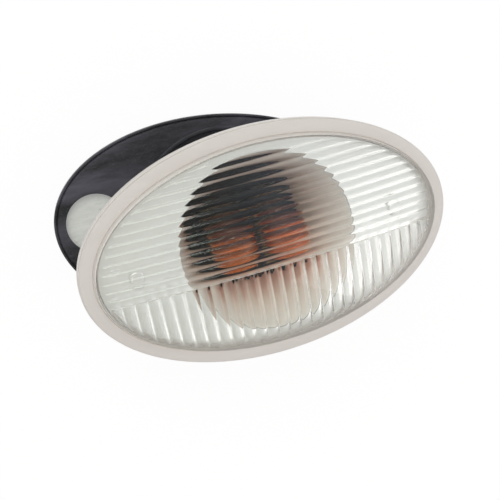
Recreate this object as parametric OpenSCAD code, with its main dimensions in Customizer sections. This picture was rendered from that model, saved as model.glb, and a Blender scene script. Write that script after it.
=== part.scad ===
// Oval marker lamp: a clear fluted lens over a silvered reflector and a twin bulb holder,
// lying on its tail with its loose rubber mounting gasket round it.
// Z points out of the lens, X lies along the lamp, Y points to the lengthwise flutes.

/* [Lens] */
// Length of the lens over its rim
lens_length = 150; // [140:1:160]
// Height of the lens over its rim
lens_height = 91; // [87:1:96]
// Depth of the rim's side wall
rim_depth = 7; // [6:0.5:8]
// Thickness of the rim's side wall
rim_wall = 2.4; // [2:0.1:2.8]
// Thickness of the band between the rim and the dome
band_wall = 2.4; // [2:0.1:2.8]
// Width of the band between the rim and the dome
band_width = 5.2; // [4.6:0.1:6]
// How far the band climbs towards the dome
band_rise = 0.8; // [0.4:0.1:1.2]
// Height of the dome's steep edge above the band
dome_step = 3; // [2:0.2:4]
// Height of the dome's crown above its edge
dome_crown = 6.5; // [5:0.5:8]
// Thickness of the dome at the feet of its ribs
dome_wall = 3; // [2.6:0.1:3.4]
// Distance of the line between the two flute fields below the lamp's axis
split_drop = 7.7; // [6:0.1:10]
// Pitch of the lengthwise flutes
long_pitch = 3.4; // [3:0.1:4]
// Depth of the lengthwise flutes
long_depth = 0.3; // [0.15:0.05:0.5]
// Pitch of the upright flutes
upright_pitch = 4.7; // [4.2:0.1:5.4]
// Depth of the upright flutes
upright_depth = 0.9; // [0.5:0.05:1]
// Height of the ribs between the flutes
rib_height = 0.35; // [0.3:0.05:0.5]
// Width of the ribs between the flutes
rib_width = 0.9; // [0.7:0.05:1]

/* [Housing] */
// Depth of the lamp from its tail to the front of the lens rim
lamp_depth = 53; // [52:0.5:58]
// Thickness of the housing's mounting plate
plate_wall = 2.2; // [1.8:0.1:2.6]
// Thickness of the housing's cup
cup_wall = 1.8; // [1.5:0.1:2]
// Reach of the bulb holder's lugs past the bowl's tail
lug_reach = 1.5; // [1.3:0.1:1.8]
// Thickness of the upstanding wall inside the lens rim
fence_wall = 1.6; // [1.2:0.1:2]
// Width of the sealant channel
channel_width = 1.8; // [1.4:0.1:2.2]
// Depth of the sealant bead
bead_depth = 1.6; // [1:0.1:2]
// Distance of a screw boss from the lens's end
boss_inset = 18.5; // [18:0.5:19.5]
// Diameter of a screw boss
boss_d = 18; // [16:0.5:19]
// Height of a screw boss behind the mounting plate
boss_depth = 10; // [9:0.5:14]

/* [Threaded inserts] */
// Outer diameter of a threaded insert
insert_d = 7; // [6.4:0.1:8]
// Length of a threaded insert
insert_length = 8; // [6:0.5:8]
// Diameter of the screw hole in an insert
screw_hole_d = 4.2; // [4:0.1:5]

/* [Reflector] */
// Distance of the bowl's mouth from the lens's outline
bowl_margin = 10.1; // [10:0.1:11]
// Diameter of the bowl's tail
bowl_tail_d = 51; // [50:0.1:52]
// Thickness of the reflector
reflector_wall = 1.2; // [1:0.1:1.4]
// Depth of the reflector's plate behind the lens rim's front
plate_drop = 3; // [2.8:0.1:3.2]
// Distance of a locating dome from the lens's end
locator_inset = 22; // [20:0.5:24]
// Diameter of a locating dome
locator_d = 5.4; // [5:0.1:6]

/* [Bulb holder] */
// Reach of the holder's grip flange past the cup
grip_reach = 0.5; // [0.3:0.1:1]
// Thickness of the holder's grip flange
grip_wall = 4; // [3.6:0.1:4.2]
// Number of finger flutes round the grip
grip_count = 30; // [20:1:36]
// Thickness of the seal under the flange
seal_wall = 1.3; // [1.1:0.1:1.4]
// Thickness of the cup's bayonet lip
lip_wall = 1.8; // [1.6:0.1:1.9]
// Height of the socket barrels above the holder's inner face
barrel_height = 8.6; // [7:0.2:8.8]
// Depth of the plug pocket in the holder's back
pocket_depth = 7; // [6:0.1:7.4]

/* [Bulbs] */
// Diameter of a bulb's glass ball
ball_d = 19; // [17:0.2:20]
// Distance between the two bulbs
bulb_spacing = 22; // [21.4:0.1:22.6]
// Distance of the bulbs below the lamp's axis
bulb_drop = 1.5; // [0:0.1:4]
// Diameter of a bulb's metal cap
cap_d = 15; // [14.8:0.05:15.2]
// Length of a bulb's metal cap
cap_length = 14; // [13:0.5:15]
// Distance from a bulb's contact to the middle of its ball
ball_reach = 25.2; // [24.6:0.1:26]

/* [Gasket] */
// Distance of the gasket's outline inside the lens's
gasket_inset = 0.9; // [0.6:0.1:1.4]
// Thickness of the gasket's web
web = 2.6; // [2.2:0.1:2.7]
// Height of the bead round the gasket's edge
edge_height = 3; // [2.8:0.1:3.6]
// Width of the bead round the gasket's edge
edge_width = 0.9; // [0.7:0.1:1.4]
// Width of the groove inside the bead
groove_width = 0.6; // [0.5:0.1:0.9]
// Depth of the groove inside the bead
groove_depth = 0.8; // [0.5:0.1:1]
// Width of the lip round the gasket's middle hole
lip_width = 1.6; // [1.2:0.1:1.8]
// Height of the lip round the gasket's middle hole
lip_height = 3.8; // [3.2:0.1:4.5]
// Width of the thin flap inside that lip, which grips the cup
flap_width = 2.8; // [2:0.1:3.4]
// Thickness of the thin flap
flap_wall = 1.2; // [0.8:0.1:1.6]
// Diameter of the holes round the screw bosses
boss_hole_d = 25.4; // [24.6:0.1:25.8]
// Turn of the loose gasket against the lens
gasket_turn = -12.2; // [-14:0.2:-10]
// Direction in which the loose gasket has slid, from the lamp's long axis
gasket_slide_angle = 148; // [140:1:156]

/* [Hidden] */
$fn = 64;

// Clearance between fitted pieces, and the gap where a loose piece touches
fit = 0.3;
slip = 0.2;
// Overlap that joins two shapes of one piece, and reach of a cut past a face
join = 0.05;
past = 1;
left = -1;
right = 1;

oval_steps = 80;
strip_wall = 0.6;
spring_height = 0.9;
plate_gap = 0.55;
rim_a = lens_length / 2;
rim_b = lens_height / 2;

// Heights along the lamp's axis
rim_z = lamp_depth;
skirt_z = rim_z - rim_depth;
seat_z = skirt_z - slip;
plate_top_z = seat_z + plate_wall;
reflector_z = rim_z - plate_drop;
ledge_z = rim_z - band_wall;
dome_edge_z = rim_z + band_rise + dome_step;
lip_z = grip_wall + seal_wall;
lug_z = lip_z + lip_wall + slip;
lug_wall = 1.3;
bowl_tail_z = lug_z + lug_wall + slip;
holder_face_z = bowl_tail_z;
contact_z = holder_face_z + strip_wall + spring_height;
ball_z = contact_z + ball_reach;

// The dome's outline lies inside the band, and the fluted face inside that
rim_step = 0.3;
groove_drop = 0.5;
dome_lean = 1.8;
dome_a = rim_a - band_width - dome_lean;
dome_b = rim_b - band_width - dome_lean;
inner_inset = band_width + dome_lean + 0.6;
inner_a = rim_a - inner_inset;
inner_b = rim_b - inner_inset;
inner_edge_z = dome_edge_z - dome_wall;

// Rim rings of the housing, measured inwards from the lens's outline
plate_inset = rim_wall + slip;
fence_inset = plate_inset + channel_width;
fence_inner_inset = fence_inset + fence_wall;
reflector_inset = fence_inner_inset + fit;

bowl_r = rim_b - bowl_margin;
bowl_tail_r = bowl_tail_d / 2;
cup_tail_r = bowl_tail_r + lug_reach + fit;
bowl_slope = (bowl_r - bowl_tail_r) / (reflector_z - bowl_tail_z);
cup_mouth_r = bowl_r - bowl_slope * (reflector_z - plate_top_z) + reflector_wall + fit;
cup_slope = (cup_mouth_r - cup_tail_r) / (plate_top_z - lip_z);
cup_seat_r = cup_mouth_r - cup_slope * plate_wall + cup_wall;
lip_bore_r = bowl_tail_r + slip;
plug_r = bowl_tail_r - fit;
lug_r = cup_tail_r - fit;
lug_angle = 34;
grip_r = cup_tail_r + cup_wall + grip_reach;

boss_x = rim_a - boss_inset;
locator_x = rim_a - locator_inset;
locator_height = 1.3;
pin_r = locator_d / 2 - reflector_wall;

bulb_x = bulb_spacing / 2;
ball_r = ball_d / 2;
cap_r = cap_d / 2;
glass_wall = 0.6;
cap_wall = 0.4;
neck_r = cap_r - cap_wall - slip;
pip_height = 1.2;
insulator_height = 1.2;
cap_z = contact_z + pip_height + insulator_height;
cap_top_z = cap_z + cap_length;
pin_height = 7;
shell_wall = 0.5;
shell_r = cap_r + 0.15;
barrel_bore_r = shell_r + shell_wall + 0.05;
barrel_wall = 1.4;
barrel_r = min(barrel_bore_r + barrel_wall, bulb_x - plate_gap);
well_depth = 1.1;
shell_z = holder_face_z + well_depth;
shell_top_z = cap_z + pin_height + 3.5;
pin_slot = 2.4;
stem_r = 2.1;
stem_top_z = cap_top_z + 3;

blade_wall = 0.8;
blade_width = 6.3;
blade_pitch = 8;
blade_y = -14.2;
blade_tip_z = 1.2;
pocket_length = 25;
pocket_height = 10.4;

bead_inset = gasket_inset + edge_width;
gasket_hole_r = cup_seat_r + fit;
flap_r = gasket_hole_r - flap_width;
gasket_slide = flap_r - grip_r - fit;

function oval_points(a, b) = [for (i = [0:oval_steps - 1])
    [a * cos(360 * i / oval_steps), b * sin(360 * i / oval_steps)]];

// Height of the dome's inner face, at the feet of its ribs
function inner_z(x, y) = inner_edge_z + dome_crown * (1 - pow(x / inner_a, 2) - pow(y / inner_b, 2));

// A straight-sided oval slab, its outline set in from the lens's outline
module oval(inset, z0, z1)
    translate([0, 0, z0]) linear_extrude(z1 - z0) polygon(oval_points(rim_a - inset, rim_b - inset));

// A solid through a row of outlines that all have the same number of points
module loft(outlines) {
    n = len(outlines[0]);
    last = len(outlines) - 1;
    sides = [for (k = [0:last - 1]) for (i = [0:n - 1])
        [k * n + i, (k + 1) * n + i, (k + 1) * n + (i + 1) % n, k * n + (i + 1) % n]];
    polyhedron([for (outline = outlines) for (p = outline) p],
        concat([[for (i = [0:n - 1]) i]], sides, [[for (i = [n - 1:-1:0]) last * n + i]]));
}

// A solid through oval sections, each given as half length, half height and level
module oval_loft(sections)
    loft([for (s = sections) [for (p = oval_points(s[0], s[1])) [p[0], p[1], s[2]]]]);

// Sections set in from the lens's outline, given as inset and level
function inset_sections(list) = [for (p = list) [rim_a - p[0], rim_b - p[0], p[1]]];

// Sections of a crown that closes over an oval
function crown_sections(a, b, z) = [for (s = [1, 0.9, 0.78, 0.64, 0.48, 0.32, 0.16, 0.03])
    [a * s, b * s, z + dome_crown * (1 - s * s)]];

module lens_outside() {
    edge_r = 0.7;
    band_top = rim_z + band_rise;
    edge = concat([[0, rim_z - edge_r - 0.4], [rim_step, rim_z - edge_r - 0.4]],
        [for (t = [0:30:90]) [rim_step + edge_r * (1 - cos(t)), rim_z - edge_r + edge_r * sin(t)]]);
    step = [
        [band_width, band_top],
        [band_width + 0.2, band_top - groove_drop],
        [band_width + 0.6, band_top - groove_drop],
        [band_width + 0.8, dome_edge_z - 1.2],
        [band_width + 1.1, dome_edge_z - 0.5]];
    oval_loft(concat(inset_sections(concat([[0, skirt_z]], edge, step)),
        crown_sections(dome_a, dome_b, dome_edge_z)));
}

module lens_hollow() {
    oval_loft(inset_sections([
        [rim_wall, skirt_z - past],
        [rim_wall, ledge_z],
        [inner_inset, ledge_z],
        [inner_inset, inner_edge_z]]));
}

// One flute's outline across its width, given as distance and level: from its deep foot up the
// flank of a rib, over the flute's arch, and down the next rib's flank to its foot
flute_foot = 2 * dome_crown;
function flute_outline(pitch, depth) = concat([[0, -flute_foot], [0, -rib_height]],
    [for (t = [0:0.2:1]) [rib_width / 2 + (pitch - rib_width) * t, depth * sin(180 * t)]],
    [[pitch, -rib_height], [pitch, -flute_foot]]);

// One flute that runs along X, upwards from y0
module long_flute(y0) hull() loft([for (s = [-1, -0.85, -0.6, -0.3, 0, 0.3, 0.6, 0.85, 1])
    let (x = s * inner_a) [for (p = flute_outline(long_pitch, long_depth))
        [x, y0 + p[0], inner_z(x, y0 + p[0]) + p[1]]]]);

// One flute that runs along Y, from x0 to the right, just above the split line down past the dome's edge
module upright_flute(x0) hull() loft([for (s = [0, 0.3, 0.6, 0.85, 1])
    let (y = (join - split_drop) * (1 - s) - inner_b * s)
    [for (p = flute_outline(upright_pitch, upright_depth)) [x0 + p[0], y, inner_z(x0 + p[0], y) + p[1]]]]);

module flute_cutters() {
    margin = 0.5;
    long_count = ceil((inner_b + split_drop) / long_pitch);
    upright_half = ceil(inner_a / upright_pitch);
    intersection() {
        union() {
            for (k = [0:long_count - 1]) long_flute(k * long_pitch - split_drop);
            for (k = [-upright_half:upright_half - 1]) upright_flute(k * upright_pitch);
        }
        oval(inner_inset + margin, inner_edge_z - past, dome_edge_z + dome_crown);
    }
}

module lens() color([0.86, 0.87, 0.85, 0.45]) difference() {
    lens_outside();
    lens_hollow();
    flute_cutters();
}

module lens_sealant() color([0.75, 0.75, 0.72]) difference() {
    oval(plate_inset, plate_top_z, plate_top_z + bead_depth);
    oval(fence_inset, plate_top_z - past, plate_top_z + bead_depth + past);
}

module reflector() color([0.82, 0.82, 0.8]) difference() {
    union() {
        difference() {
            oval(reflector_inset, plate_top_z, reflector_z);
            oval(reflector_inset + reflector_wall, plate_top_z - past, reflector_z - reflector_wall);
            translate([0, 0, plate_top_z - past]) cylinder(r = bowl_r, h = rim_depth);
        }
        bowl();
        for (side = [left, right]) translate([side * locator_x, 0, reflector_z - join])
            rotate_extrude($fn = 32) locator_profile();
    }
    for (side = [left, right]) translate([side * locator_x, 0, plate_top_z - past])
        cylinder(r = pin_r + 0.15, h = reflector_z + locator_height / 2 - plate_top_z + past, $fn = 32);
}

// The reflecting bowl: a cone with a rounded mouth
module bowl() {
    mouth_round = 0.8;
    ring_r = bowl_r + reflector_wall + 0.6;
    rotate_extrude($fn = 96) polygon(concat(
        [[bowl_tail_r, bowl_tail_z], [bowl_tail_r + reflector_wall, bowl_tail_z],
         [bowl_r + reflector_wall, reflector_z - reflector_wall], [ring_r, reflector_z - reflector_wall],
         [ring_r, reflector_z]],
        [for (t = [90:22.5:180]) [bowl_r + mouth_round + mouth_round * cos(t),
            reflector_z - mouth_round + mouth_round * sin(t)]]));
}

module locator_profile() {
    corner = 0.6;
    r = locator_d / 2;
    polygon(concat([[0, 0], [r, 0]], [for (t = [0:22.5:90]) [r - corner + corner * cos(t),
        locator_height - corner + corner * sin(t)]], [[0, locator_height]]));
}

module housing() color([0.1, 0.1, 0.11]) {
    difference() {
        union() {
            oval(plate_inset, seat_z, plate_top_z);
            difference() {
                oval(fence_inset, plate_top_z - join, ledge_z - slip);
                oval(fence_inner_inset, plate_top_z - past, ledge_z + past);
            }
            rotate_extrude($fn = 96) polygon([[cup_tail_r, lip_z], [cup_tail_r + cup_wall, lip_z],
                [cup_seat_r, seat_z + join], [cup_tail_r, seat_z + join]]);
            rotate_extrude($fn = 96) polygon([[lip_bore_r, lip_z], [cup_tail_r + join, lip_z],
                [cup_tail_r + join, lip_z + lip_wall], [lip_bore_r, lip_z + lip_wall]]);
            for (side = [left, right]) translate([side * boss_x, 0, seat_z]) screw_boss();
            for (side = [left, right]) translate([side * locator_x, 0, plate_top_z - join])
                cylinder(r = pin_r, h = plate_drop / 2, $fn = 32);
        }
        rotate_extrude($fn = 96) polygon([[0, lip_z + lip_wall], [cup_tail_r, lip_z + lip_wall],
            [cup_tail_r + cup_slope * lip_wall, lip_z + lip_wall],
            [cup_mouth_r + cup_slope * past, plate_top_z + past], [0, plate_top_z + past]]);
        for (side = [left, right]) translate([side * boss_x, 0, seat_z - boss_depth - past])
            cylinder(d = insert_d, h = insert_length + slip + past);
        for (k = [0:2]) rotate(60 + 120 * k)
            bayonet_sector(lug_r + slip, lug_angle + 6, lip_z - past, lip_z + lip_wall + past);
    }
}

// A screw boss behind the mounting plate, with four gussets inside the gasket's hole
module screw_boss() {
    gusset = min((boss_hole_d - boss_d) / 2 - fit, 3);
    translate([0, 0, -boss_depth]) cylinder(d = boss_d, h = boss_depth + join);
    for (k = [0:3]) rotate(45 + 90 * k) translate([0, 0.8, 0]) rotate([90, 0, 0]) linear_extrude(1.6)
        polygon([[boss_d / 2 - past, join], [boss_d / 2 + gusset, join], [boss_d / 2 + gusset, -1],
            [boss_d / 2, -boss_depth * 0.7], [boss_d / 2 - past, -boss_depth * 0.7]]);
}

// A sector of a disc, used for the bayonet lugs and their notches
module bayonet_sector(r, angle, z0, z1) intersection() {
    translate([0, 0, z0]) cylinder(r = r, h = z1 - z0, $fn = 96);
    translate([0, 0, z0]) linear_extrude(z1 - z0)
        polygon([[0, 0], [2 * r * cos(angle / 2), -2 * r * sin(angle / 2)],
            [2 * r * cos(angle / 2), 2 * r * sin(angle / 2)]]);
}

module threaded_insert(side) color([0.8, 0.62, 0.3])
    translate([side * boss_x, 0, seat_z - boss_depth]) difference() {
        union() {
            cylinder(d = insert_d - 0.6, h = insert_length);
            for (z = [0.6, insert_length / 2 + 0.4]) translate([0, 0, z])
                cylinder(d = insert_d - 0.04, h = insert_length / 2 - 1);
        }
        translate([0, 0, -past]) cylinder(d = screw_hole_d, h = insert_length + 2 * past);
    }
module threaded_insert_left() threaded_insert(left);
module threaded_insert_right() threaded_insert(right);

module bulb_holder() color([0.12, 0.12, 0.13]) difference() {
    union() {
        grip_flange();
        translate([0, 0, grip_wall - join])
            cylinder(r = plug_r, h = holder_face_z - grip_wall + join, $fn = 96);
        for (k = [0:2]) rotate(120 * k) bayonet_sector(lug_r, lug_angle, lug_z, lug_z + lug_wall);
        for (side = [left, right]) translate([side * bulb_x, -bulb_drop, holder_face_z - join])
            cylinder(r = barrel_r, h = barrel_height + join);
    }
    for (side = [left, right]) translate([side * bulb_x, -bulb_drop, 0]) {
        translate([0, 0, shell_z]) cylinder(r = barrel_bore_r, h = barrel_height + past);
        translate([0, 0, holder_face_z]) cylinder(r = shell_r - 0.2, h = well_depth + past);
    }
    strip_slots();
    translate([-pocket_length / 2, blade_y - pocket_height / 2, -past])
        cube([pocket_length, pocket_height, pocket_depth + past]);
    for (k = [-1:1]) translate([k * blade_pitch - blade_width / 2 - 0.05, blade_y - blade_wall / 2 - 0.05, 0])
        cube([blade_width + 0.1, blade_wall + 0.1, holder_face_z + past]);
}

// The flange that a hand turns: finger flutes round its edge, and a cored back with six ribs
module grip_flange() {
    core_depth = grip_wall / 2;
    core_outer = grip_r - 2.4;
    core_inner = plug_r - 1;
    difference() {
        rotate_extrude($fn = 96) polygon([[0, 0], [grip_r - 0.6, 0], [grip_r, 0.6],
            [grip_r, grip_wall - 0.6], [grip_r - 0.6, grip_wall], [0, grip_wall]]);
        for (k = [0:grip_count - 1]) rotate(360 * k / grip_count) translate([grip_r + 0.9, 0, -past])
            cylinder(r = 1.6, h = grip_wall + 2 * past, $fn = 24);
        difference() {
            translate([0, 0, -past]) cylinder(r = core_outer, h = core_depth + past, $fn = 96);
            translate([0, 0, -2 * past]) cylinder(r = core_inner, h = core_depth + 4 * past, $fn = 96);
            for (k = [0:5]) rotate(60 * k + 30) translate([core_inner - past, -1, -2 * past])
                cube([core_outer, 2, core_depth + 4 * past]);
        }
    }
}

// Slots in the barrels' walls where the feed strips pass
module strip_slots() {
    slot_height = strip_wall + slip;
    for (side = [left, right]) translate([0, 0, holder_face_z]) linear_extrude(slot_height)
        polygon(feed_route(side, 2.4, 0));
}

// Outline of a feed strip from its blade to the middle of its bulb
function feed_route(side, half_width, end_y) = [
    [side * blade_pitch - half_width, blade_y - blade_wall / 2],
    [side * blade_pitch + half_width, blade_y - blade_wall / 2],
    [side * bulb_x + half_width, -bulb_drop + end_y],
    [side * bulb_x - half_width, -bulb_drop + end_y]];

module holder_seal() color([0.16, 0.16, 0.16])
    translate([0, 0, grip_wall]) difference() {
        cylinder(r = cup_tail_r + cup_wall - 0.5, h = seal_wall, $fn = 96);
        translate([0, 0, -past]) cylinder(r = plug_r + slip, h = seal_wall + 2 * past, $fn = 96);
    }

module socket_shell(side) color([0.85, 0.7, 0.38])
    translate([side * bulb_x, -bulb_drop, 0]) difference() {
        translate([0, 0, shell_z]) cylinder(r = shell_r + shell_wall, h = shell_top_z - shell_z);
        translate([0, 0, shell_z - past]) cylinder(r = shell_r, h = shell_top_z - shell_z + 2 * past);
        for (turn = [90, 270]) rotate(turn) {
            translate([0, 0, cap_z + pin_height - pin_slot / 2]) linear_extrude(pin_slot)
                polygon([[0, 0], [2 * shell_r * cos(9), -2 * shell_r * sin(9)],
                    [2 * shell_r * cos(33), 2 * shell_r * sin(33)]]);
            rotate(24) translate([0, -pin_slot / 2, cap_z + pin_height])
                cube([2 * shell_r, pin_slot, shell_top_z]);
        }
    }
module socket_shell_left() socket_shell(left);
module socket_shell_right() socket_shell(right);

module blade(x) translate([x - blade_width / 2, blade_y - blade_wall / 2, blade_tip_z])
    cube([blade_width, blade_wall, holder_face_z + strip_wall - blade_tip_z]);

module feed_terminal(side) color([0.8, 0.66, 0.36]) {
    blade(side * blade_pitch);
    translate([0, 0, holder_face_z]) linear_extrude(strip_wall) polygon(feed_route(side, 2, 2));
    translate([side * bulb_x, -bulb_drop, holder_face_z])
        cylinder(r = 1.8, h = strip_wall + spring_height - 0.05);
}
module feed_terminal_left() feed_terminal(left);
module feed_terminal_right() feed_terminal(right);

module earth_terminal() color([0.8, 0.66, 0.36]) {
    tab_z = holder_face_z + barrel_height + slip;
    tab_x = bulb_x - shell_r - shell_wall - 0.05;
    blade(0);
    translate([-strip_wall / 2, blade_y, holder_face_z])
        cube([strip_wall, 1 - bulb_drop - blade_y, tab_z + strip_wall - holder_face_z]);
    translate([-tab_x, -bulb_drop - 1.2, tab_z]) cube([2 * tab_x, 2.4, strip_wall]);
}

module bulb_glass(side) color([0.95, 0.45, 0.1, 0.6])
    translate([side * bulb_x, -bulb_drop, 0]) {
        neck_z = cap_top_z - 5;
        difference() {
            union() {
                translate([0, 0, ball_z]) sphere(r = ball_r);
                translate([0, 0, neck_z]) cylinder(r = neck_r, h = ball_z - neck_z);
            }
            translate([0, 0, ball_z]) sphere(r = ball_r - glass_wall);
            translate([0, 0, neck_z + glass_wall])
                cylinder(r = neck_r - glass_wall, h = ball_z - neck_z - glass_wall);
        }
        translate([0, 0, neck_z]) cylinder(r = stem_r, h = stem_top_z - neck_z, $fn = 32);
    }
module bulb_glass_left() bulb_glass(left);
module bulb_glass_right() bulb_glass(right);

module bulb_cap(side) color([0.86, 0.8, 0.66])
    translate([side * bulb_x, -bulb_drop, 0]) {
        rotate_extrude() polygon([[cap_r - 1.4, cap_z - 0.4], [cap_r - 1, cap_z - 0.4], [cap_r, cap_z + 0.8],
            [cap_r, cap_top_z], [cap_r - cap_wall, cap_top_z], [cap_r - cap_wall, cap_z + 1],
            [cap_r - 1.4, cap_z + 0.1]]);
        for (turn = [90, 270]) rotate(turn) translate([cap_r - cap_wall, 0, cap_z + pin_height])
            rotate([0, 90, 0]) cylinder(r = 1, h = 1.6, $fn = 24);
    }
module bulb_cap_left() bulb_cap(left);
module bulb_cap_right() bulb_cap(right);

module bulb_insulator(side) color([0.13, 0.12, 0.12])
    translate([side * bulb_x, -bulb_drop, 0]) rotate_extrude() polygon([[0, contact_z], [1.6, contact_z],
        [2.2, contact_z + pip_height], [3, contact_z + pip_height], [cap_r - 1.45, cap_z - 0.5],
        [cap_r - 1.45, cap_z + 2], [0, cap_z + 2]]);
module bulb_insulator_left() bulb_insulator(left);
module bulb_insulator_right() bulb_insulator(right);

// Two splayed support wires on the stem, and the coil between their tips
module bulb_filament(side) color([0.5, 0.5, 0.52])
    translate([side * bulb_x, -bulb_drop, stem_top_z]) {
        splay = 12;
        wire_r = 0.25;
        wire_length = (ball_z - stem_top_z) / cos(splay);
        coil_half = 1.2 + wire_length * sin(splay);
        for (s = [-1, 1]) translate([s * 1.2, 0, 0]) rotate([0, s * splay, 0])
            translate([0, 0, wire_r]) cylinder(r = wire_r, h = wire_length - wire_r, $fn = 16);
        translate([-coil_half, 0, ball_z - stem_top_z - wire_r]) rotate([0, 90, 0])
            cylinder(r = 0.5, h = 2 * coil_half, $fn = 24);
    }
module bulb_filament_left() bulb_filament(left);
module bulb_filament_right() bulb_filament(right);

module mounting_gasket() color([0.17, 0.17, 0.19])
    translate([gasket_slide * cos(gasket_slide_angle), gasket_slide * sin(gasket_slide_angle), 0])
        rotate(gasket_turn) difference() {
            union() {
                oval(gasket_inset, 0, web);
                difference() {
                    oval(gasket_inset, web - join, edge_height);
                    oval(bead_inset, web - past, edge_height + past);
                }
                cylinder(r = gasket_hole_r + lip_width, h = lip_height, $fn = 96);
            }
            difference() {
                oval(bead_inset, web - groove_depth, web + past);
                oval(bead_inset + groove_width, web - groove_depth - past, web + 2 * past);
                cylinder(r = gasket_hole_r + lip_width, h = lip_height, $fn = 96);
            }
            translate([0, 0, -past]) cylinder(r = flap_r, h = lip_height + 2 * past, $fn = 96);
            translate([0, 0, flap_wall]) cylinder(r = gasket_hole_r, h = lip_height, $fn = 96);
            for (side = [left, right]) translate([side * boss_x, 0, -past])
                cylinder(d = boss_hole_d, h = edge_height + 2 * past);
        }

lens();
lens_sealant();
reflector();
housing();
threaded_insert_left();
threaded_insert_right();
bulb_holder();
holder_seal();
socket_shell_left();
socket_shell_right();
feed_terminal_left();
feed_terminal_right();
earth_terminal();
bulb_glass_left();
bulb_glass_right();
bulb_cap_left();
bulb_cap_right();
bulb_insulator_left();
bulb_insulator_right();
bulb_filament_left();
bulb_filament_right();
mounting_gasket();
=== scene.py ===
"""Oval marker lamp on a light table, with its loose rubber mounting gasket lying round its tail."""
import math

import bpy
import numpy as np
from mathutils import Matrix, Vector


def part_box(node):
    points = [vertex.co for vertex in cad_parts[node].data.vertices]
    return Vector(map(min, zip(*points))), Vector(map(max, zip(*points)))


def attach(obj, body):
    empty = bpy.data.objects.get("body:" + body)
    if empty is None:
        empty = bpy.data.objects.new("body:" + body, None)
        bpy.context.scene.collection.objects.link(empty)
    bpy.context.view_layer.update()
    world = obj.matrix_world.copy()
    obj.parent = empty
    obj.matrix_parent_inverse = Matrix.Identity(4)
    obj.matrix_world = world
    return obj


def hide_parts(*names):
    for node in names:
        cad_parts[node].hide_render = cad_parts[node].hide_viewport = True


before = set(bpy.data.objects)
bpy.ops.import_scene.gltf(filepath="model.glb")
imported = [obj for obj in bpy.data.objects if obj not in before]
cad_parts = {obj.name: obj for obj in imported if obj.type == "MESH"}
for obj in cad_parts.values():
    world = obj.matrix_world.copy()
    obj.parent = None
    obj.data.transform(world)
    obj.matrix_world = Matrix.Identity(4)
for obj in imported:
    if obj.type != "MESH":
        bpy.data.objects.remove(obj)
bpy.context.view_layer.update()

MM = 0.001

# Sizes of the lens in millimetres, from its solid where that carries them

lens_low, lens_high = [[c / MM for c in corner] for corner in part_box("lens")]

RIM_A = (lens_high[0] - lens_low[0]) / 2
RIM_B = (lens_high[1] - lens_low[1]) / 2
SKIRT_Z = lens_low[2]
RIM_DEPTH = 7.0
RIM_Z = SKIRT_Z + RIM_DEPTH
RIM_WALL = 2.4
BAND_WALL = 2.4
BAND_WIDTH = 5.2
BAND_RISE = 0.8
BAND_GROOVE = 0.5
DOME_STEP = 3.0
DOME_EDGE_Z = RIM_Z + BAND_RISE + DOME_STEP
DOME_CROWN = lens_high[2] - DOME_EDGE_Z
DOME_WALL = 3.0
DOME_LEAN = 1.8
INNER_INSET = BAND_WIDTH + DOME_LEAN + 0.6
INNER_A = RIM_A - INNER_INSET
INNER_B = RIM_B - INNER_INSET
INNER_EDGE_Z = DOME_EDGE_Z - DOME_WALL

# Flutes inside the dome: long ones above the split line, upright ones below it. A flute's stops are the
# shares of its width where the mesh has points. Between the two fields is a narrow step.

SPLIT_DROP = 7.7
LONG_PITCH = 3.4
LONG_DEPTH = 0.42
LONG_RIB = 0.45
LONG_STOPS = (0.0, 0.045, 0.09, 0.135, 0.25, 0.5, 0.75, 0.865, 0.91, 0.955)
FIELD_WIDTH_SHARE = 0.991
FIELD_HEIGHT_SHARE = 0.997
UPRIGHT_PITCH = 4.7
UPRIGHT_DEPTH = 0.72
UPRIGHT_RIB = 0.16
UPRIGHT_STOPS = (0.0, 0.035, 0.075, 0.2, 0.35, 0.5, 0.65, 0.8, 0.925, 0.965)
UPRIGHT_ROWS = 16
COLUMN_GAP = 0.05
STEP_SHARE = 0.008
RIB_DROP = 0.15

# How far from the dome's edge a flute starts to rise, and over what length
FADE_START = 0.3
FADE_LENGTH = 1.3

# Keeps a stop that lies on a rib's tip from falling into the flute before it
STOP_NUDGE = 1e-9

# Keeps the middle of the dome from being divided by zero
SMALLEST_SHARE = 1e-6

# The first rings of the lens's mesh are its inner wall and stay clear. The frosting starts past them and
# takes in the first rings of the dome's foot.

INNER_WALL_RINGS = 4
FOOT_RINGS = 2
FOOT_LEAN = 0.85
FOOT_DROP = 0.9
SHOULDER_INSET = 3.0
SHOULDER_RISE = 0.075
DOME_RINGS = 9
CENTRE_SHARE = 0.05

# The largest share of a path's side that one rounded corner may take up
ARC_SHARE = 0.45


# Meshes

def new_piece(name, points, faces, solid, sharp, materials, indices=None):
    """One mesh piece, points in millimetres, that stands for a solid and takes its finish from a slot."""
    mesh = bpy.data.meshes.new(name)
    mesh.from_pydata([tuple(c * MM for c in p) for p in points], [], [tuple(f) for f in faces])
    mesh.validate()
    if indices is not None:
        mesh.polygons.foreach_set("material_index", indices)
    mesh.polygons.foreach_set("use_smooth", [True] * len(mesh.polygons))
    mesh.set_sharp_from_angle(angle=math.radians(sharp))
    for material in materials:
        mesh.materials.append(material)
    piece = bpy.data.objects.new(name, mesh)
    bpy.context.collection.objects.link(piece)
    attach(piece, "root")
    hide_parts(solid)


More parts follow.
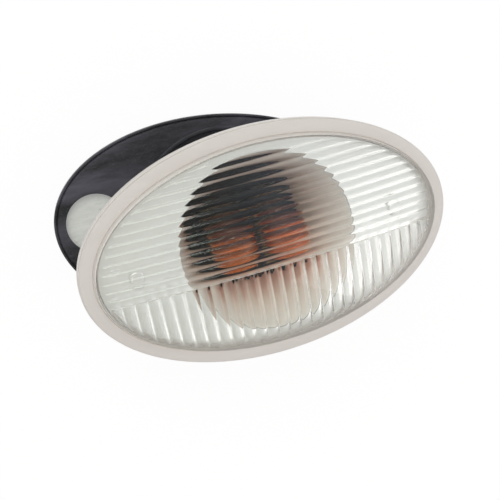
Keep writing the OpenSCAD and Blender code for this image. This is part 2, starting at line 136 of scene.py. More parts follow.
def rounded(corners, steps=4):
    """A path of (u, v, radius) corners as (u, v) points, with each corner rounded off."""
    path = []
    for i, (u, v, radius) in enumerate(corners):
        here = Vector((u, v))
        if radius == 0:
            path.append((u, v))
            continue
        before = Vector(corners[i - 1][:2]) - here
        after = Vector(corners[i + 1][:2]) - here
        half = before.angle(after) / 2
        reach = min(radius / math.tan(half), ARC_SHARE * before.length, ARC_SHARE * after.length)
        start = here + before.normalized() * reach
        end = here + after.normalized() * reach
        for k in range(steps + 1):
            t = k / steps
            p = start * (1 - t) ** 2 + here * 2 * t * (1 - t) + end * t ** 2
            path.append((p.x, p.y))
    return path


def ring_faces(inner, outer):
    """Quads between two rings of as many points."""
    ahead = [(i + 1) % len(inner) for i in range(len(inner))]
    return [(inner[i], inner[j], outer[j], outer[i]) for i, j in enumerate(ahead)]


def grid_faces(grid):
    """Quads between the neighbours in a grid of point numbers."""
    corners = (grid[:-1, :-1], grid[1:, :-1], grid[1:, 1:], grid[:-1, 1:])
    return list(zip(*(corner.ravel().tolist() for corner in corners)))


def smoothstep(value):
    """An even run from 0 to 1, eased at both ends."""
    value = np.clip(value, 0.0, 1.0)
    return value * value * (3 - 2 * value)


# Lens

def inner_level(x, y):
    """Height of the dome's inner face without its flutes."""
    return INNER_EDGE_Z + DOME_CROWN * (1 - (x / INNER_A) ** 2 - (y / INNER_B) ** 2)


def flute_level(count, pitch, depth, rib):
    """Rise of a flute over inner_level, by a running count of flutes: a hollow between two rounded ribs."""
    within = count + STOP_NUDGE - np.floor(count + STOP_NUDGE)
    from_tip = np.minimum(within, 1 - within) * pitch
    half = pitch / 2
    slope = 2 * depth / half
    past = from_tip - rib
    on_rib = slope * from_tip ** 2 / (2 * rib)
    in_hollow = slope * (rib / 2 + past - past ** 2 / (2 * (half - rib)))
    return np.where(from_tip < rib, on_rib, in_hollow) - RIB_DROP


def end_fade(x, y):
    """Lets each flute run out in a rounded end near the dome's edge."""
    share = np.sqrt((x / INNER_A) ** 2 + (y / INNER_B) ** 2)
    distance = (1 - share) * np.hypot(x, y) / np.maximum(share, SMALLEST_SHARE)
    return smoothstep((distance - FADE_START) / FADE_LENGTH)


def fluted(x, y, flutes):
    """Grid points of the dome's inner face with a field of flutes on it."""
    return np.stack([x, y, inner_level(x, y) + flutes * end_fade(x, y)], axis=2)


def long_flutes(shares):
    """The field above the split line, a row of points for each stop, spread over its width by shares."""
    count = int((INNER_B + SPLIT_DROP) / LONG_PITCH) + 1
    rows = np.array([(k + s) * LONG_PITCH - SPLIT_DROP for k in range(count) for s in LONG_STOPS])
    rows = rows[rows < INNER_B * FIELD_HEIGHT_SHARE]
    widths = INNER_A * FIELD_WIDTH_SHARE * np.sqrt(1 - (rows / INNER_B) ** 2)
    x = widths[:, None] * shares[None, :]
    y = np.repeat(rows[:, None], len(shares), axis=1)
    return fluted(x, y, flute_level((y + SPLIT_DROP) / LONG_PITCH, LONG_PITCH, LONG_DEPTH, LONG_RIB))


def upright_flutes(columns):
    """The field below the split line, a column of points for each stop, down to the dome's edge."""
    drops = INNER_B * np.sqrt(1 - (columns / INNER_A) ** 2)
    down = np.linspace(STEP_SHARE, 1.0, UPRIGHT_ROWS)
    x = np.repeat(columns[None, :], UPRIGHT_ROWS, axis=0)
    y = -SPLIT_DROP - down[:, None] * (drops - SPLIT_DROP)[None, :]
    return fluted(x, y, flute_level(x / UPRIGHT_PITCH, UPRIGHT_PITCH, UPRIGHT_DEPTH, UPRIGHT_RIB))


def dome_inside():
    """The dome's inner face: its points and faces, the ring of its edge, and the faces of the split step."""
    half_split = INNER_A * FIELD_WIDTH_SHARE * math.sqrt(1 - (SPLIT_DROP / INNER_B) ** 2)
    reach = int(half_split / UPRIGHT_PITCH) + 1
    columns = np.array([(k + s) * UPRIGHT_PITCH for k in range(-reach, reach) for s in UPRIGHT_STOPS])
    columns = columns[np.abs(columns) < half_split - COLUMN_GAP]
    columns = np.concatenate([[-half_split], columns, [half_split]])
    above = long_flutes(columns / half_split)
    below = upright_flutes(columns)
    points = [tuple(p) for p in np.concatenate([above.reshape(-1, 3), below.reshape(-1, 3)])]
    numbers = np.arange(len(points)).reshape(-1, len(columns))
    upper = numbers[:len(above)]
    lower = np.concatenate([upper[:1], numbers[len(above):]])
    faces = grid_faces(upper) + grid_faces(lower[::-1])
    step = range(len(faces) - len(columns) + 1, len(faces))
    edge = [*upper[1:, -1], *upper[-1, -2:0:-1], *upper[::-1, 0]]
    edge += [*lower[1:, 0], *lower[-1, 1:-1], *lower[:0:-1, -1], upper[0, -1]]
    return points, faces, edge, step


def wall_path():
    """The lens's wall and band from the dome's inner edge, down, round the rim and up: (inset, level).
    The rim carries a fine moulded line, and a groove runs between the band and the dome's foot."""
    band_top = RIM_Z + BAND_RISE
    foot = BAND_WIDTH
    return rounded([
        (INNER_INSET, INNER_EDGE_Z, 0),
        (INNER_INSET, RIM_Z - BAND_WALL, 0.5),
        (RIM_WALL, RIM_Z - BAND_WALL, 0.8),
        (RIM_WALL, SKIRT_Z, 0.2),
        (0, SKIRT_Z, 0.35),
        (0, RIM_Z - 1.1, 0.06),
        (0.75, RIM_Z - 1.2, 0.04),
        (0.3, RIM_Z - 0.75, 0.06),
        (0.5, RIM_Z, 0.6),
        (foot, band_top, 0.12),
        (foot + 0.25, band_top - BAND_GROOVE, 0.12),
        (foot + 0.6, band_top - BAND_GROOVE, 0.12),
        (foot + FOOT_LEAN, DOME_EDGE_Z - FOOT_DROP, 0),
    ], steps=2)


def shoulder_path():
    """The dome's rounded edge outside, from the end of wall_path: (inset, level)."""
    foot = BAND_WIDTH
    return rounded([
        (foot + FOOT_LEAN, DOME_EDGE_Z - FOOT_DROP, 0),
        (foot + 1.0, DOME_EDGE_Z - 0.1, 0.8),
        (foot + SHOULDER_INSET, DOME_EDGE_Z + DOME_CROWN * SHOULDER_RISE, 0),
    ])


def dome_rings():
    """The rings of the dome's outer face inside its shoulder: half length, half height and level."""
    inset = BAND_WIDTH + SHOULDER_INSET
    shares = np.linspace(1, CENTRE_SHARE, DOME_RINGS)[1:]
    return [((RIM_A - inset) * share, (RIM_B - inset) * share,
             DOME_EDGE_Z + DOME_CROWN * (1 - (1 - SHOULDER_RISE) * share ** 2)) for share in shares]


def lens_moulding():
    """The clear lens: flutes inside its dome, and a frosted step, band and rim."""
    points, faces, edge, step = dome_inside()
    angles = [math.atan2(points[i][1] / INNER_B, points[i][0] / INNER_A) for i in edge]
    walls = wall_path()
    outlines = [(RIM_A - inset, RIM_B - inset, level) for inset, level in walls + shoulder_path()[1:]]
    rings = [edge]
    for a, b, level in outlines + dome_rings():
        rings.append(range(len(points), len(points) + len(angles)))
        points.extend((a * math.cos(t), b * math.sin(t), level) for t in angles)
    frosted_faces = list(step)
    for k, (inner, outer) in enumerate(zip(rings, rings[1:])):
        if INNER_WALL_RINGS <= k < len(walls) + FOOT_RINGS:
            frosted_faces.extend(range(len(faces), len(faces) + len(inner)))
        faces.extend(ring_faces(inner, outer))
    last = rings[-1]
    centre = len(points)
    points.append((0, 0, DOME_EDGE_Z + DOME_CROWN))
    faces.extend((last[i], last[(i + 1) % len(last)], centre) for i in range(len(last)))
    indices = np.zeros(len(faces), dtype=int)
    indices[frosted_faces] = 1
    new_piece("lens_moulding", points, faces, "lens", 55,
              [clear_acrylic(), frosted_acrylic()], indices)


# Gasket, sizes in millimetres

GASKET_TURN = -12.2
GASKET_SLIDE = 5.35
GASKET_SLIDE_ANGLE = 148
GASKET_HOLE_R = 38.05
FLAP_R = 35.25
FLAP_WALL = 1.2
WEB = 2.6
WEB_EDGE_R = 0.3
GASKET_INSET = 0.9
EDGE_HEIGHT = 3.0
EDGE_WIDTH = 0.9
GROOVE_WIDTH = 0.6
GROOVE_DEPTH = 0.8
LIP_WIDTH = 1.6
LIP_HEIGHT = 3.8
BOSS_X = 56.5
BOSS_HOLE_R = 12.7

# How far the gasket's edge, web and lip run into each other
EDGE_OVERLAP = 1.0
WEB_OVERLAP = 0.4
LIP_OVERLAP = 0.3

# How many points go round the gasket's outline, its middle hole and each boss hole
OUTLINE_POINTS = 256
HOLE_POINTS = 160
BOSS_POINTS = 96


def gasket_slide():
    """How far the loose gasket lies from under the middle of the lens."""
    angle = math.radians(GASKET_SLIDE_ANGLE)
    return Vector((GASKET_SLIDE * math.cos(angle), GASKET_SLIDE * math.sin(angle), 0))


def oval_points(x, a, b, count):
    """Points round an oval at x with half sizes a and b; a negative b runs the other way round."""
    turns = [2 * math.pi * i / count for i in range(count)]
    return [(x + a * math.cos(t), b * math.sin(t)) for t in turns]


def web_mesh(inset, edge):
    """The gasket's flat web with its three holes, its edges eased, as a mesh lying on the table."""
    curve = bpy.data.curves.new("gasket_web_outline", "CURVE")
    curve.dimensions = "2D"
    curve.fill_mode = "BOTH"
    curve.extrude = (WEB / 2 - edge) * MM
    curve.bevel_depth = edge * MM
    curve.bevel_resolution = 2
    curve.offset = -edge * MM
    outlines = [oval_points(0, RIM_A - inset, RIM_B - inset, OUTLINE_POINTS),
                oval_points(0, GASKET_HOLE_R, -GASKET_HOLE_R, HOLE_POINTS)]
    outlines += [oval_points(x, BOSS_HOLE_R, -BOSS_HOLE_R, BOSS_POINTS) for x in (-BOSS_X, BOSS_X)]
    for outline in outlines:
        spline = curve.splines.new("POLY")
        spline.points.add(len(outline) - 1)
        spline.points.foreach_set("co", np.array([(x * MM, y * MM, 0, 1) for x, y in outline]).ravel())
        spline.use_cyclic_u = True
    holder = bpy.data.objects.new("gasket_web_outline", curve)
    bpy.context.collection.objects.link(holder)
    mesh = bpy.data.meshes.new_from_object(holder.evaluated_get(bpy.context.evaluated_depsgraph_get()))
    bpy.data.objects.remove(holder)
    points = [(v.co.x / MM, v.co.y / MM, v.co.z / MM + WEB / 2) for v in mesh.vertices]
    faces = [tuple(p.vertices) for p in mesh.polygons]
    bpy.data.meshes.remove(mesh)
    return points, faces


def swept(path, half_a, half_b, count):
    """A closed path of (outset, level) carried round an oval of these half sizes."""
    points = []
    rings = []
    for outset, level in path:
        rings.append(range(len(points), len(points) + count))
        points.extend((x, y, level) for x, y in oval_points(0, half_a + outset, half_b + outset, count))
    faces = []
    for ring, next_ring in zip(rings, rings[1:] + rings[:1]):
        faces.extend(ring_faces(ring, next_ring))
    return points, faces


def join_parts(*parts):
    """One list of points and faces from several."""
    points = []
    faces = []
    for part_points, part_faces in parts:
        start = len(points)
        points.extend(part_points)
        faces.extend(tuple(i + start for i in face) for face in part_faces)
    return points, faces


def gasket_edge(web_edge):
    """The bead round the gasket and the groove inside it, in from the lens's outline."""
    groove = GASKET_INSET + EDGE_WIDTH
    web_top = WEB - 0.05
    path = rounded([
        (web_edge + EDGE_OVERLAP, 0.2, 0),
        (GASKET_INSET, 0, 0.4),
        (GASKET_INSET, EDGE_HEIGHT, 0.35),
        (groove, EDGE_HEIGHT, 0.35),
        (groove, WEB - GROOVE_DEPTH, 0.2),
        (web_edge, WEB - GROOVE_DEPTH, 0.2),
        (web_edge, web_top, 0.15),
        (web_edge + EDGE_OVERLAP, web_top, 0),
    ])
    return swept([(-inset, level) for inset, level in path[::-1]], RIM_A, RIM_B, OUTLINE_POINTS)


def gasket_lip():
    """The lip round the gasket's middle hole, with the thin flap inside it."""
    lip_r = GASKET_HOLE_R + LIP_WIDTH
    path = rounded([
        (lip_r + LIP_OVERLAP, 0.3, 0),
        (FLAP_R, 0.0, 0.3),
        (FLAP_R, FLAP_WALL, 0.3),
        (GASKET_HOLE_R, FLAP_WALL, 0.4),
        (GASKET_HOLE_R, LIP_HEIGHT, 0.7),
        (lip_r, LIP_HEIGHT, 0.7),
        (lip_r, WEB, 0.25),
        (lip_r + LIP_OVERLAP, WEB - 0.2, 0),
    ])
    return swept(path, 0, 0, HOLE_POINTS)


def mounting_gasket():
    """The moulded rubber gasket, turned and slid as it lies on the table."""
    web_edge = GASKET_INSET + EDGE_WIDTH + GROOVE_WIDTH
    web = web_mesh(web_edge + WEB_OVERLAP, WEB_EDGE_R)
    points, faces = join_parts(gasket_edge(web_edge), web, gasket_lip())
    place = Matrix.Translation(gasket_slide()) @ Matrix.Rotation(math.radians(GASKET_TURN), 4, "Z")
    points = [tuple(place @ Vector(p)) for p in points]
    new_piece("mounting_gasket_moulding", points, faces, "mounting_gasket", 40,
              [gasket_rubber()])


# Shader nodes

MIX_SHARE = 0
MIX_COLOURS = (6, 7)
MIX_RESULT = 2


def feed(tree, value, socket):
    """Gives a socket its value: a link where that is another node's output, or else a number or colour."""
    if isinstance(value, bpy.types.NodeSocket):
        tree.links.new(value, socket)
    else:
        socket.default_value = value


def node(tree, kind, **values):
    """A shader node. A value goes to the input of its name, with _ for a space, or else to that setting."""
    made = tree.nodes.new(kind)
    for name, value in values.items():
        socket_name = name.replace("_", " ")
        if socket_name in made.inputs:
            feed(tree, value, made.inputs[socket_name])
        else:
            setattr(made, name, value)
    return made


def calculated(tree, operation, *values, **settings):
    """The result of a sum on numbers and other nodes' outputs."""
    made = node(tree, "ShaderNodeMath", operation=operation, **settings)
    for value, socket in zip(values, made.inputs):
        feed(tree, value, socket)
    return made.outputs["Value"]


def ranged(tree, value, start, end, **settings):
    """A share that runs from 0 where value is at start to 1 where it is at end."""
    made = node(tree, "ShaderNodeMapRange", Value=value, From_Min=start, From_Max=end, **settings)
    return made.outputs["Result"]


def blend(tree, share, first, second):
    """A colour that runs from the first to the second with a share."""
    made = node(tree, "ShaderNodeMix", data_type="RGBA")
    feed(tree, share, made.inputs[MIX_SHARE])
    for colour, slot in zip((first, second), MIX_COLOURS):
        feed(tree, colour, made.inputs[slot])
    return made.outputs[MIX_RESULT]


def mix_shaders(tree, share, first, second):
    """A shader that runs from the first to the second with a share."""
    made = node(tree, "ShaderNodeMixShader", Fac=share)
    tree.links.new(first, made.inputs[1])
    tree.links.new(second, made.inputs[2])
    return made.outputs["Shader"]


def object_place(tree):
    """The place on the object, in metres."""
    return tree.nodes.new("ShaderNodeTexCoord").outputs["Object"]


def split_xyz(tree, vector):
    """The X, Y and Z outputs of a vector."""
    return node(tree, "ShaderNodeSeparateXYZ", Vector=vector).outputs


def new_group(name, inputs, outputs):
    """An empty shader group with named number sockets, its inputs with their usual values."""
    group = bpy.data.node_groups.new(name, "ShaderNodeTree")
    for socket, value in inputs.items():
        made = group.interface.new_socket(name=socket, in_out="INPUT", socket_type="NodeSocketFloat")
        made.default_value = value
    for socket in outputs:
        group.interface.new_socket(name=socket, in_out="OUTPUT", socket_type="NodeSocketFloat")
    inside = group.nodes.new("NodeGroupInput").outputs
    outside = group.nodes.new("NodeGroupOutput").inputs
    return group, inside, outside


def moulded_grain_group():
    """Fine grain and slow waviness of a moulded surface: a height for bump and a roughness."""
    inputs = {"Grain Size": 900.0, "Grain Depth": 0.5, "Wave Size": 60.0, "Base Roughness": 0.4,
              "Roughness Spread": 0.15}
    group, inside, outside = new_group("moulded_grain", inputs, ["Height", "Roughness"])
    place = object_place(group)
    grain = node(group, "ShaderNodeTexNoise", Vector=place, Scale=inside["Grain Size"], Detail=4.0,
                 Roughness=0.6).outputs["Fac"]
    wave = node(group, "ShaderNodeTexNoise", Vector=place, Scale=inside["Wave Size"], Detail=3.0,
                Roughness=0.5).outputs["Fac"]
    deep = calculated(group, "MULTIPLY", grain, inside["Grain Depth"])
    height = calculated(group, "ADD", deep, wave)
    centred = calculated(group, "SUBTRACT", wave, 0.5)
    roughness = calculated(group, "MULTIPLY_ADD", centred, inside["Roughness Spread"],
                           inside["Base Roughness"])
    group.links.new(height, outside["Height"])
    group.links.new(roughness, outside["Roughness"])
    return group


def handling_marks_group():
    """Smears and fine scratches from handling, as a mask that changes over the surface."""
    inputs = {"Smear Size": 25.0, "Scratch Size": 300.0, "Strength": 0.5}
    group, inside, outside = new_group("handling_marks", inputs, ["Mask"])
    stretched = node(group, "ShaderNodeMapping", Vector=object_place(group), Scale=(0.25, 1.0, 1.0),
                     Rotation=(0.0, 0.0, 0.5)).outputs["Vector"]
    smear = node(group, "ShaderNodeTexNoise", Vector=stretched, Scale=inside["Smear Size"], Detail=5.0,
                 Roughness=0.65).outputs["Fac"]
    scratch = node(group, "ShaderNodeTexNoise", Vector=stretched, Scale=inside["Scratch Size"], Detail=2.0,
                   Roughness=0.5).outputs["Fac"]
    fine = ranged(group, scratch, 0.58, 0.72)
    broad = ranged(group, smear, 0.4, 0.75)
    both = calculated(group, "MAXIMUM", fine, broad)
    group.links.new(calculated(group, "MULTIPLY", both, inside["Strength"]), outside["Mask"])
    return group


MOULDED_GRAIN = moulded_grain_group()
HANDLING_MARKS = handling_marks_group()


# Materials

def new_material(name, **values):
    """A material with a Principled shader on its output, and the shader's own values."""
    material = bpy.data.materials.new(name)
    material.use_nodes = True
    tree = material.node_tree
    tree.nodes.clear()
    shader = node(tree, "ShaderNodeBsdfPrincipled", **values)
    node(tree, "ShaderNodeOutputMaterial", Surface=shader.outputs["BSDF"])
    return material, tree, shader


def show(tree, surface):
    """Puts a shader on the material's output."""
    output = next(n for n in tree.nodes if n.bl_idname == "ShaderNodeOutputMaterial")
    tree.links.new(surface, output.inputs["Surface"])


def let_lamps_through(tree, shader, colour=(1, 1, 1, 1)):
    """Rays from the lamps pass straight through glass, so that what is behind it is lit."""
    path = tree.nodes.new("ShaderNodeLightPath")
    clear = node(tree, "ShaderNodeBsdfTransparent", Color=colour)
    show(tree, mix_shaders(tree, path.outputs["Is Shadow Ray"], shader.outputs["BSDF"],
                           clear.outputs["BSDF"]))


def add_bump(tree, shader, height, strength, distance):
    """A bump on a shader's normal."""
    bump = node(tree, "ShaderNodeBump", Height=height, Strength=strength, Distance=distance)
    tree.links.new(bump.outputs["Normal"], shader.inputs["Normal"])


def add_grain(tree, shader, strength, distance, **values):
    """Moulded grain on a shader's normal and roughness."""
    grain = node(tree, "ShaderNodeGroup", node_tree=MOULDED_GRAIN, **values)
    add_bump(tree, shader, grain.outputs["Height"], strength, distance)
    tree.links.new(grain.outputs["Roughness"], shader.inputs["Roughness"])


def handling_marks(tree, **values):
    """The mask of handling marks, for this material's own sizes."""
    return node(tree, "ShaderNodeGroup", node_tree=HANDLING_MARKS, **values).outputs["Mask"]


def add_marks(tree, shader, plain, marked, **values):
    """Handling marks that shift a shader's base colour."""
    tree.links.new(blend(tree, handling_marks(tree, **values), plain, marked), shader.inputs["Base Color"])


def clear_acrylic():
    """Clear moulded acrylic, with the faintest waviness on its faces."""
    material, tree, shader = new_material("clear_lens_acrylic", Base_Color=(0.965, 0.97, 0.96, 1),
                                          Transmission_Weight=1.0, IOR=1.49, Roughness=0.02)
    wave = node(tree, "ShaderNodeGroup", node_tree=MOULDED_GRAIN, Wave_Size=90.0, Grain_Depth=0.0)
    add_bump(tree, shader, wave.outputs["Height"], 0.1, 0.0006)
    let_lamps_through(tree, shader)
    return material


def frosted_acrylic():
    """The lens's etched band and rim: milky and soft."""
    material, tree, shader = new_material("frosted_lens_rim", Transmission_Weight=0.25, IOR=1.45)
    add_marks(tree, shader, (0.64, 0.60, 0.575, 1), (0.69, 0.665, 0.64, 1), Smear_Size=18.0, Strength=0.8)
    add_grain(tree, shader, 0.25, 0.0001, Grain_Size=1500.0, Base_Roughness=0.45)
    let_lamps_through(tree, shader, (0.8, 0.78, 0.76, 1))
    return material


# Heights in metres between which the reflector's finish and its painted shade change, from down in the bowl
# to the plate
BOWL_FINISH_AND_SHADE_Z = 0.010
PLATE_FINISH_AND_SHADE_Z = 0.0495


def silvered_plastic():
    """Silvered plastic: half metal on the plate, and hardly metal down the bowl, where a painted warm shade
    deepens towards the bottom, with a painted highlight near the mouth.
    """
    material, tree, shader = new_material("silvered_reflector")
    level = split_xyz(tree, tree.nodes.new("ShaderNodeNewGeometry").outputs["Position"])["Z"]
    height = ranged(tree, level, BOWL_FINISH_AND_SHADE_Z, PLATE_FINISH_AND_SHADE_Z)
    silver_with_painted_shade = node(tree, "ShaderNodeValToRGB", Fac=height)
    stops = silver_with_painted_shade.color_ramp.elements
    # Painted shade: the colour darkens and warms down the bowl, like shade with the amber bulbs' light in
    # it. The lighter band just below the plate is a painted highlight along the bowl's mouth.
    stops[0].color = (0.60, 0.42, 0.30, 1)
    stops[1].color = (0.80, 0.80, 0.79, 1)
    stops.new(0.45).color = (0.85, 0.75, 0.66, 1)
    stops.new(0.93).color = (0.88, 0.85, 0.80, 1)
    stops.new(0.985).color = (0.95, 0.93, 0.90, 1)
    worn = (0.72, 0.70, 0.68, 1)
    add_marks(tree, shader, silver_with_painted_shade.outputs["Color"], worn, Smear_Size=30.0, Strength=0.6)
    tree.links.new(ranged(tree, height, 0.99, 1.0, To_Min=0.03, To_Max=0.58), shader.inputs["Metallic"])
    add_grain(tree, shader, 0.1, 0.0002, Base_Roughness=0.25, Roughness_Spread=0.1)
    return material


def gasket_rubber():
    """Moulded black rubber with a painted grey-blue sheen in streaks."""
    material, tree, shader = new_material("gasket_rubber", Specular_IOR_Level=0.4)
    # Painted sheen: the streaks are a grey-blue lift of the base colour.
    add_marks(tree, shader, (0.022, 0.022, 0.023, 1), (0.115, 0.110, 0.140, 1), Smear_Size=90.0,
              Scratch_Size=6000.0, Strength=0.9)
    add_grain(tree, shader, 0.35, 0.00015, Grain_Size=1200.0, Base_Roughness=0.5, Roughness_Spread=0.2)
    return material


# Places across the bulbs in metres, where the painted shade on their lacquer starts and where it is darkest
PAINTED_SHADE_START_Y = -0.006
PAINTED_SHADE_FULL_Y = 0.003


def amber_glass():
    """Amber lacquered bulb glass, with painted light on the side below the lens's split line and painted
    shade on the other.
    """
    material, tree, shader = new_material("amber_bulb_glass", Transmission_Weight=0.93, IOR=1.45,
                                          Roughness=0.06)
    across = split_xyz(tree, tree.nodes.new("ShaderNodeNewGeometry").outputs["Position"])["Y"]
    # Painted light and shade: the lacquer's colour is bright amber low on the bulbs and dark brown higher
    # up, set by place.
    painted_shade = ranged(tree, across, PAINTED_SHADE_START_Y, PAINTED_SHADE_FULL_Y)
    lacquer_with_painted_shade = blend(tree, painted_shade, (1.0, 0.37, 0.012, 1), (0.20, 0.045, 0.004, 1))
    tree.links.new(lacquer_with_painted_shade, shader.inputs["Base Color"])
    let_lamps_through(tree, shader, (1.0, 0.6, 0.2, 1))
    return material


def moulded_material(name, plain, marked, bump, roughness, strength=0.6, shine=0.5):
    """Moulded plastic, rubber or glass: bump is a strength and a distance, strength is that of the marks."""
    material, tree, shader = new_material(name, Specular_IOR_Level=shine)
    add_marks(tree, shader, plain, marked, Strength=strength)
    add_grain(tree, shader, *bump, Base_Roughness=roughness)
    return material


def metal_material(name, plain, tarnished, bump, roughness, smear=25.0, strength=0.7):
    """Bare metal with smears: bump is a strength and a distance, strength is that of the smears."""
    material, tree, shader = new_material(name, Metallic=1.0)
    add_marks(tree, shader, plain, tarnished, Smear_Size=smear, Strength=strength)
    add_grain(tree, shader, *bump, Base_Roughness=roughness)
    return material


def housing_plastic():
    """Black moulded plastic of the housing."""
    return moulded_material("housing_black", (0.022, 0.022, 0.024, 1), (0.040, 0.040, 0.043, 1),
                            (0.3, 0.0001), 0.42)


def holder_plastic():
    """Black moulded plastic of the bulb holder, duller than the housing's."""
    return moulded_material("holder_black", (0.007, 0.007, 0.008, 1), (0.013, 0.013, 0.014, 1),
                            (0.3, 0.0001), 0.35, shine=0.2)


def seal_rubber():
    """Matt black rubber of the holder's seal."""
    return moulded_material("seal_rubber", (0.03, 0.03, 0.03, 1), (0.054, 0.054, 0.054, 1),
                            (0.3, 0.0001), 0.6)


def cured_sealant():
    """Pale cured sealant between the lens's rim and the housing."""
    return moulded_material("cured_sealant", (0.55, 0.54, 0.52, 1), (0.65, 0.64, 0.62, 1),
                            (0.3, 0.0002), 0.4)


def insulator_glass():
    """Black glass at the foot of a bulb's cap."""
    return moulded_material("bulb_insulator_glass", (0.02, 0.02, 0.025, 1), (0.05, 0.05, 0.06, 1),
                            (0.1, 0.0001), 0.12, strength=0.5)


def bright_brass():
    """Brass of the terminals, socket shells and threaded inserts."""
    return metal_material("bright_brass", (0.26, 0.18, 0.08, 1), (0.18, 0.13, 0.06, 1),
                          (0.15, 0.00005), 0.28, smear=90.0)


def nickelled_cap():
    """Nickelled brass of a bulb's cap, with lighter smears."""
    return metal_material("nickelled_cap", (0.50, 0.45, 0.38, 1), (0.62, 0.57, 0.50, 1),
                          (0.2, 0.00005), 0.18, smear=120.0)


def filament_wire():
    """Grey wire of a bulb's filament and its posts."""
    return metal_material("filament_wire", (0.45, 0.45, 0.47, 1), (0.3, 0.3, 0.31, 1),
                          (0.1, 0.00005), 0.35, strength=0.5)


def dress_solids():
    """Finishes for the solids that are shown as they are."""
    brass = bright_brass()
    finishes = {"reflector": silvered_plastic(), "lens_sealant": cured_sealant(),
                "housing": housing_plastic(), "bulb_holder": holder_plastic(),
                "holder_seal": seal_rubber(), "earth_terminal": brass}
    pairs = {"threaded_insert": brass, "socket_shell": brass, "feed_terminal": brass,
             "bulb_cap": nickelled_cap(), "bulb_glass": amber_glass(),
             "bulb_insulator": insulator_glass(), "bulb_filament": filament_wire()}
    for name, finish in pairs.items():
        for side in ("left", "right"):
            finishes[name + "_" + side] = finish
    for name, finish in finishes.items():
        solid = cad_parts[name]
        if not solid.material_slots:
            solid.data.materials.append(finish)
        for slot in solid.material_slots:
            slot.material = finish


# Table, light and camera

# Shares of the gasket's outline between which the painted shadow under it comes in
GASKET_SHADOW_START = 0.99
GASKET_SHADOW_FULL = 0.95

# How much of the table's look is its own glow, in the open and under the gasket, where it is lowered so that
# shadow shows
OPEN_GLOW = 0.93
UNDER_GASKET_GLOW = 0.2

# Directions on the light tent, as parts of a unit vector: the X where its right side is reached, and the
# heights between which its overhead part runs into its low part
TENT_RIGHT_X = 0.38
TENT_OVERHEAD_Z = 0.9
TENT_LOW_Z = 0.6


def under_gasket(tree):
    """A mask on the table: 1 well inside the gasket's outline, 0 past it."""
    local = node(tree, "ShaderNodeMapping", vector_type="TEXTURE", Vector=object_place(tree),
                 Location=gasket_slide() * MM, Rotation=(0, 0, math.radians(GASKET_TURN)),
                 Scale=(RIM_A * MM, RIM_B * MM, 1))
    reach = node(tree, "ShaderNodeVectorMath", operation="LENGTH", Vector=local.outputs["Vector"])
    return ranged(tree, reach.outputs["Value"], GASKET_SHADOW_START, GASKET_SHADOW_FULL)


def light_table():
    """A white glowing table that keeps a trace of the object's shadow. Under the gasket its glow is lowered
    and its colour darkened, a painted shadow with darker smudges.
    """
    bpy.ops.mesh.primitive_plane_add(size=6, location=(0, 0, 0))
    table = bpy.context.object
    table.name = "light_table"
    material, tree, shader = new_material("light_table_white", Roughness=0.9)
    mask = under_gasket(tree)
    smudges = handling_marks(tree, Smear_Size=260.0, Scratch_Size=900.0, Strength=0.8)
    # Painted shadow: the table's colour is darker under the gasket, with darker smudges in it.
    painted_shadow_with_smudges = blend(tree, smudges, (0.60, 0.61, 0.56, 1), (0.38, 0.39, 0.35, 1))
    tree.links.new(blend(tree, mask, (0.9, 0.9, 0.9, 1), painted_shadow_with_smudges), shader.inputs["Base Color"])
    path = tree.nodes.new("ShaderNodeLightPath").outputs
    seen = calculated(tree, "MAXIMUM", path["Is Camera Ray"], path["Is Glossy Ray"])
    seen_through = calculated(tree, "MAXIMUM", seen, path["Is Transmission Ray"])
    level = ranged(tree, mask, 0.0, 1.0, To_Min=OPEN_GLOW, To_Max=UNDER_GASKET_GLOW)
    share = calculated(tree, "MULTIPLY", level, seen_through)
    glow = node(tree, "ShaderNodeEmission", Color=(1, 1, 1, 1), Strength=1.0)
    show(tree, mix_shaders(tree, share, shader.outputs["BSDF"], glow.outputs["Emission"]))
    table.data.materials.append(material)


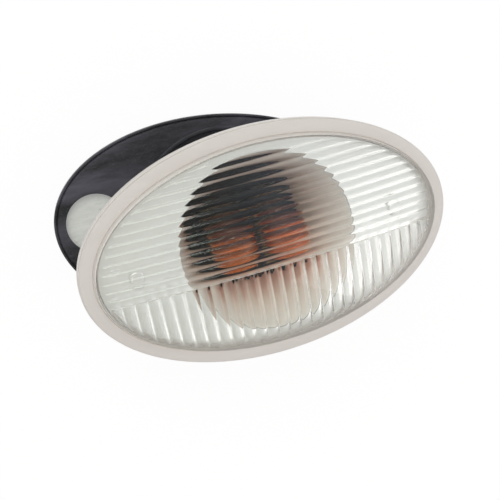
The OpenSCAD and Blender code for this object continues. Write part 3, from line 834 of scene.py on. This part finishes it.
def studio_sky():
    """The light tent: white to the camera and to matt faces, greyer overhead to what mirrors it through
    the lens, greyest on its left, and dim to the lens's own face, which would look hazy otherwise."""
    world = bpy.data.worlds.new("light_tent")
    bpy.context.scene.world = world
    world.use_nodes = True
    tree = world.node_tree
    tree.nodes.clear()
    path = tree.nodes.new("ShaderNodeLightPath").outputs
    towards = split_xyz(tree, tree.nodes.new("ShaderNodeTexCoord").outputs["Generated"])
    right = ranged(tree, towards["X"], 0.0, TENT_RIGHT_X, interpolation_type="SMOOTHSTEP")
    low = ranged(tree, towards["Z"], TENT_OVERHEAD_Z, TENT_LOW_Z, interpolation_type="SMOOTHSTEP")
    overhead = blend(tree, right, (0.46, 0.48, 0.42, 1), (0.78, 0.80, 0.81, 1))
    inside_lens = blend(tree, low, overhead, (1.27, 1.27, 1.25, 1))
    on_lens = blend(tree, right, (0.14, 0.15, 0.15, 1), (0.42, 0.46, 0.56, 1))
    deep = calculated(tree, "DIVIDE", path["Transmission Depth"], 4.0, use_clamp=True)
    reflected = calculated(tree, "SUBTRACT", path["Is Glossy Ray"], deep, use_clamp=True)
    mirrored = blend(tree, reflected, inside_lens, on_lens)
    lighting = calculated(tree, "MINIMUM", path["Diffuse Depth"], 1.0)
    tent = blend(tree, lighting, mirrored, (1.0, 0.99, 0.98, 1))
    soft = node(tree, "ShaderNodeBackground", Color=tent, Strength=0.95)
    white = node(tree, "ShaderNodeBackground", Color=(1, 1, 1, 1), Strength=1.0)
    surface = mix_shaders(tree, path["Is Camera Ray"], soft.outputs["Background"],
                          white.outputs["Background"])
    node(tree, "ShaderNodeOutputWorld", Surface=surface)


def softbox(name, place, size, energy, colour):
    """An area lamp that faces the lens."""
    data = bpy.data.lights.new(name, "AREA")
    data.shape = "RECTANGLE"
    data.size, data.size_y = size
    data.energy = energy
    data.color = colour
    lamp = bpy.data.objects.new(name, data)
    bpy.context.collection.objects.link(lamp)
    lamp.location = place
    aim = Vector((0, 0, RIM_Z * MM)) - Vector(place)
    lamp.rotation_euler = aim.to_track_quat("-Z", "Y").to_euler()


# The photograph's camera: its turns in degrees, and the place of the lens's rim from it in millimetres

CAMERA_ROLL = 12.74
CAMERA_TURN = -12.5
CAMERA_TILT = 15.5
CAMERA_OFFSET = (8.01, 3.10, -328.56)
CAMERA_LENS = 61.2
CAMERA_SENSOR = 36.0


def photo_camera():
    """The camera where it stood, above the lens, with the lens's long axis rising to the right."""
    data = bpy.data.cameras.new("camera")
    data.sensor_width = CAMERA_SENSOR
    data.lens = CAMERA_LENS
    camera = bpy.data.objects.new("camera", data)
    bpy.context.collection.objects.link(camera)
    turn = Matrix.Rotation(math.radians(CAMERA_ROLL), 4, "Z")
    turn = turn @ Matrix.Rotation(math.radians(CAMERA_TILT), 4, "X")
    turn = turn @ Matrix.Rotation(math.radians(-CAMERA_TURN), 4, "Y")
    aim = Matrix.Translation((0, 0, RIM_Z * MM))
    offset = Matrix.Translation([-c * MM for c in CAMERA_OFFSET])
    camera.matrix_world = aim @ turn.inverted() @ offset
    bpy.context.scene.camera = camera


lens_moulding()
mounting_gasket()
dress_solids()
light_table()
studio_sky()
softbox("left_softbox", place=(-0.2, 0.7, 0.7), size=(0.5, 0.5), energy=2.6, colour=(0.93, 1.0, 0.91))
softbox("right_softbox", place=(0.5, -0.5, 0.65), size=(0.4, 0.5), energy=0.95, colour=(1.0, 0.94, 0.93))
photo_camera()
bpy.context.scene.view_settings.view_transform = "Standard"
